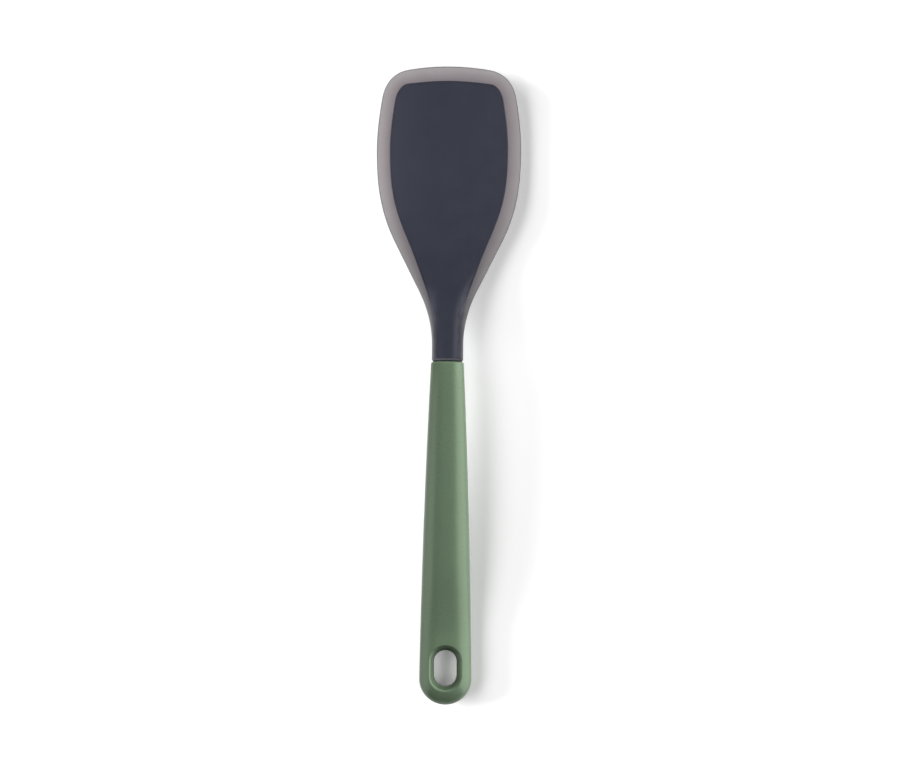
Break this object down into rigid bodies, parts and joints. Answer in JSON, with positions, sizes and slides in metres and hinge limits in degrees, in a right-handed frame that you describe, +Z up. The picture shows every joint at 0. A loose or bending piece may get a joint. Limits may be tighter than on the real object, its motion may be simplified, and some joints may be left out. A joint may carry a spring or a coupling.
{
  "type": "spatula",
  "caption": "Kitchen spatula with a shallow dished translucent silicone head over a stiff dark core, and a soft-touch handle with a hanging eye.",
  "frame": {"origin": "on the table, at the middle of the spatula's length and width", "axes": "+Z up from the table, +Y from the handle towards the tip of the head, +X across the head"},
  "size_m": [0.0724, 0.32, 0.0206],
  "materials": {
    "silicone": "translucent grey silicone, satin",
    "core_nylon": "dark glass-filled nylon, matt",
    "grip": "green soft-touch, fine moulded grain",
    "liner": "green moulded plastic, satin",
    "shell": "grey moulded plastic, unseen inside the grip"
  },
  "bodies": {
    "root": {"silicone_head": "silicone", "blade_core": "core_nylon", "handle_grip": "grip", "eye_liner": "liner", "handle_core_upper": "shell", "handle_core_lower": "shell"}
  },
  "joints": []
}
